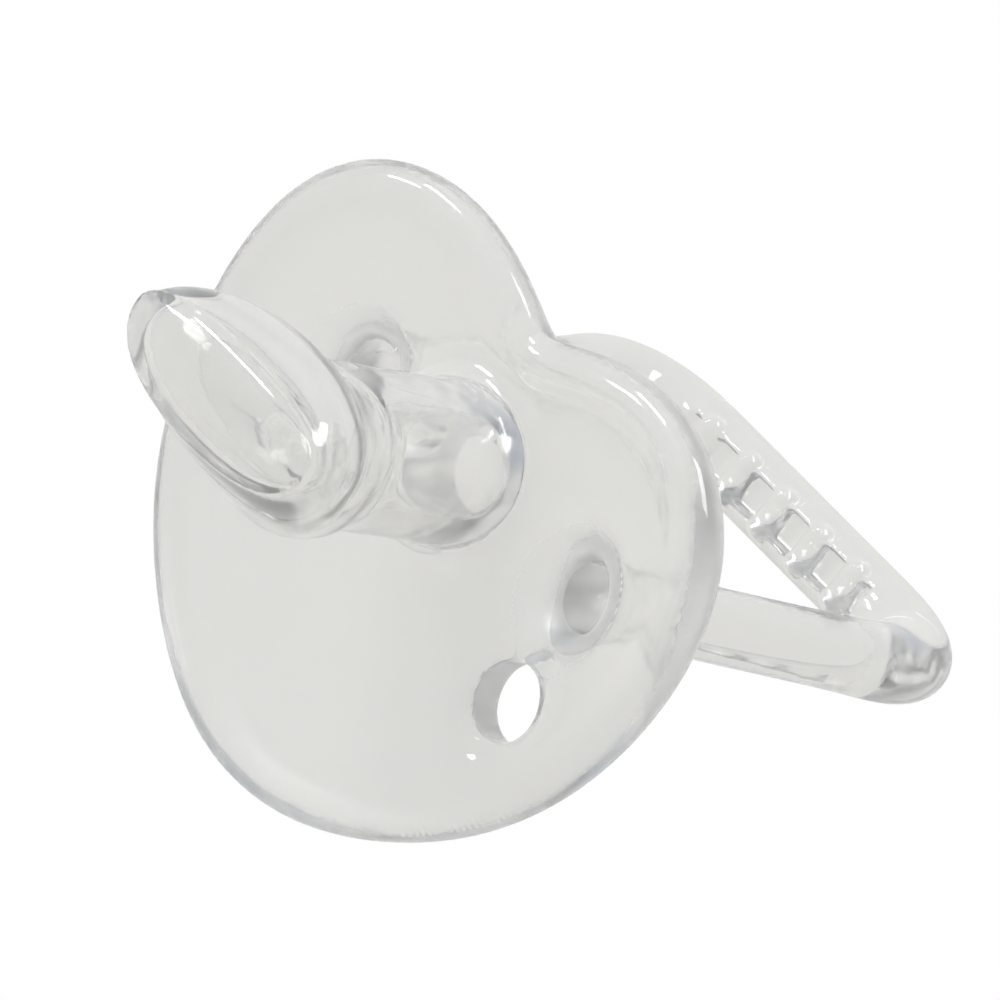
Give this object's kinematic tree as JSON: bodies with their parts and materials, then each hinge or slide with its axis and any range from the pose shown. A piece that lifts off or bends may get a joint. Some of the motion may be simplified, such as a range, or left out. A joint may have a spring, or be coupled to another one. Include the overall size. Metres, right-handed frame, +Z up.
{
  "type": "pacifier",
  "caption": "One-piece clear silicone soother with a heart-shaped dished shield, a hollow orthodontic teat, two vents and a looped grip handle.",
  "frame": {"origin": "on the table, under the middle of the soother's box, as it rests on the chin side of its rim and on the back of its handle", "axes": "+Z up, -Y towards the baby (the teat points to -Y and up), +Y towards the handle, X from side to side"},
  "size_m": [0.0448, 0.0528, 0.0379],
  "materials": {
    "clear_silicone": "clear moulded silicone, glossy",
    "rim_silicone": "clear moulded silicone, glossy, faintly warm in the thick rim",
    "teat_silicone": "clear moulded silicone, thin hollow wall",
    "handle_silicone": "clear moulded silicone, glossy",
    "rib_silicone": "clear moulded silicone, glossy"
  },
  "bodies": {
    "shield": {"shield_plate": "clear_silicone", "shield_rim": "rim_silicone", "teat_collar": "clear_silicone", "handle_root_left": "handle_silicone", "handle_root_right": "handle_silicone"},
    "teat": {"teat_neck": "teat_silicone", "teat_shank": "teat_silicone", "teat_bulb": "teat_silicone"},
    "handle": {"handle_leg_left": "handle_silicone", "handle_leg_right": "handle_silicone", "handle_bar": "handle_silicone", "grip_ribs": "rib_silicone"}
  },
  "joints": [
    {"name": "handle_flex", "type": "hinge", "parent": "shield", "child": "handle", "pos_m": [0, -0.0006, 0.01645], "axis": [1, 0, 0], "range_deg": [-40, 40], "stiffness_Nm_per_rad": 0.05, "deforming": ["handle_root_left", "handle_root_right"]},
    {"name": "teat_bend", "type": "hinge", "parent": "shield", "child": "teat", "pos_m": [0, -0.0087, 0.02293], "axis": [1, 0, 0], "range_deg": [-30, 30], "stiffness_Nm_per_rad": 0.15, "deforming": ["teat_neck"]}
  ]
}
